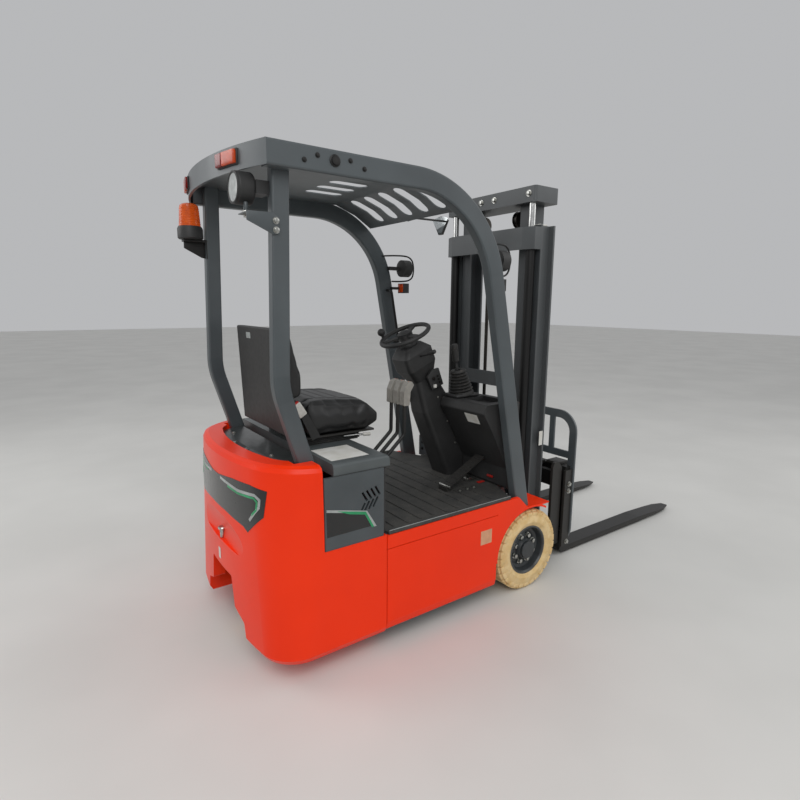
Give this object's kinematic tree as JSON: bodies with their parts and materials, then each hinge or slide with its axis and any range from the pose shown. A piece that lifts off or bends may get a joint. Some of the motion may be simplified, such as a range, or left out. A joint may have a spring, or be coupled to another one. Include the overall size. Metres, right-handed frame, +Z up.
{
  "type": "compact three-wheel electric counterbalance forklift",
  "caption": "Compact rear-drive electric counterbalance forklift with a duplex lift mast, side shifter and pallet forks, overhead guard, seat, lamps and solid tyres.",
  "frame": {"origin": "on the floor below the middle of the truck's length and width", "axes": "+X points to the forks, +Y to the driver's left, +Z up"},
  "size_m": [3.1269, 1.03, 2.05],
  "materials": {
    "frame_paint": "satin",
    "body_paint": "gloss",
    "weight_paint": "painted",
    "battery_case": "satin",
    "mat_rubber": "ribbed",
    "black_plastic": "textured",
    "grey_plastic": "satin",
    "cast_housing": "painted",
    "motor_case": "satin",
    "drive_tyre": "smooth",
    "pale_tyre": "treaded",
    "rim_paint": "satin",
    "black_metal": "satin",
    "seat_vinyl": "grained",
    "mast_paint": "satin",
    "bright_rod": "polished",
    "pulley_steel": "worn",
    "chain_steel": "oiled",
    "black_rubber": "matt",
    "lamp_red": "lens",
    "beacon_amber": "lens"
  },
  "bodies": {
    "chassis": {"chassis_frame": "frame_paint", "battery": "battery_case", "side_panel_right": "body_paint", "side_panel_left": "body_paint", "fender_right": "body_paint", "fender_left": "body_paint", "floor_plate": "frame_paint", "floor_mat": "mat_rubber", "counterweight": "weight_paint", "rear_cover": "black_plastic", "side_cover_right": "grey_plastic", "side_cover_left": "grey_plastic", "hood_front": "black_plastic", "turntable": "frame_paint", "guard_rail_right": "frame_paint", "guard_rail_left": "frame_paint", "rear_pillars": "frame_paint", "rear_beam": "frame_paint", "roof_panel": "frame_paint", "steering_column": "black_plastic", "cowl": "black_plastic", "hand_brake": "black_rubber", "hydraulic_levers": "black_metal", "lever_grips": "black_plastic", "pedals": "black_metal", "rear_lamps": "lamp_red", "work_lamp_rear": "black_plastic", "beacon": "beacon_amber", "front_lamps": "black_plastic", "mirror": "black_plastic", "grab_handle": "black_metal"},
    "drive_unit": {"drive_housing": "cast_housing", "drive_motor": "motor_case"},
    "drive_wheel": {"drive_tyre": "drive_tyre", "drive_rim": "cast_housing"},
    "wheel_front_right": {"tyre_right": "pale_tyre", "rim_right": "rim_paint"},
    "wheel_front_left": {"tyre_left": "pale_tyre", "rim_left": "rim_paint"},
    "battery_lid": {"hood_lid": "black_plastic", "seat_base": "black_metal", "seat_cushion": "seat_vinyl", "seat_back": "black_plastic", "back_cushion": "seat_vinyl"},
    "outer_mast": {"outer_mast": "mast_paint", "lift_barrels": "black_metal"},
    "inner_mast": {"inner_mast": "mast_paint", "lift_rods": "bright_rod", "chain_pulleys": "pulley_steel", "lift_chains": "chain_steel"},
    "carriage": {"carriage": "black_metal"},
    "side_shifter": {"shifter_frame": "black_metal", "fork_right": "black_metal", "fork_left": "black_metal", "backrest": "frame_paint"},
    "tilt_barrels": {"tilt_barrels": "black_metal"},
    "tilt_rods": {"tilt_rods": "bright_rod"},
    "steering_wheel": {"steering_wheel": "black_plastic"}
  },
  "joints": [
    {"name": "wheel_front_right_spin", "type": "hinge", "parent": "chassis", "child": "wheel_front_right", "pos_m": [-0.1425, -0.435, 0.2125], "axis": [0, 1, 0], "continuous": true},
    {"name": "wheel_front_left_spin", "type": "hinge", "parent": "chassis", "child": "wheel_front_left", "pos_m": [-0.1425, 0.435, 0.2125], "axis": [0, 1, 0], "continuous": true},
    {"name": "steer", "type": "hinge", "parent": "chassis", "child": "drive_unit", "pos_m": [-1.3525, 0, 0.33], "axis": [0, 0, 1], "range_deg": [-90, 90]},
    {"name": "drive_wheel_spin", "type": "hinge", "parent": "drive_unit", "child": "drive_wheel", "pos_m": [-1.3525, 0, 0.125], "axis": [0, 1, 0], "continuous": true},
    {"name": "steering_wheel_turn", "type": "hinge", "parent": "chassis", "child": "steering_wheel", "pos_m": [-0.5785, 0, 1.306], "axis": [-0.4157, 0, 0.9095], "range_deg": [-810, 810]},
    {"name": "battery_lid_open", "type": "hinge", "parent": "chassis", "child": "battery_lid", "pos_m": [-1.2685, 0, 0.846], "axis": [0, -1, 0], "range_deg": [0, 35]},
    {"name": "mast_tilt", "type": "hinge", "parent": "chassis", "child": "outer_mast", "pos_m": [-0.0975, 0, 0.165], "axis": [0, 1, 0], "range_deg": [-5, 3]},
    {"name": "mast_lift", "type": "slide", "parent": "outer_mast", "child": "inner_mast", "axis": [0, 0, 1], "range_m": [0, 1.45]},
    {"name": "carriage_lift", "type": "slide", "parent": "inner_mast", "child": "carriage", "axis": [0, 0, 1], "range_m": [0, 1.45]},
    {"name": "side_shift", "type": "slide", "parent": "carriage", "child": "side_shifter", "axis": [0, 1, 0], "range_m": [-0.075, 0.075]},
    {"name": "tilt_barrels_swing", "type": "hinge", "parent": "chassis", "child": "tilt_barrels", "pos_m": [-0.5625, 0, 0.445], "axis": [0, 1, 0], "range_deg": [-0.6, 0.6]},
    {"name": "tilt_rods_slide", "type": "slide", "parent": "tilt_barrels", "child": "tilt_rods", "axis": [0.9987, 0, 0.0508], "range_m": [-0.0272, 0.0163]}
  ],
  "couplings": [
    {"joint": "carriage_lift", "follows": "mast_lift", "ratio": 1},
    {"joint": "tilt_barrels_swing", "follows": "mast_tilt", "ratio": 0.086},
    {"joint": "tilt_rods_slide", "follows": "mast_tilt", "m_per_rad": 0.3032},
    {"joint": "steering_wheel_turn", "follows": "steer", "ratio": -9}
  ]
}
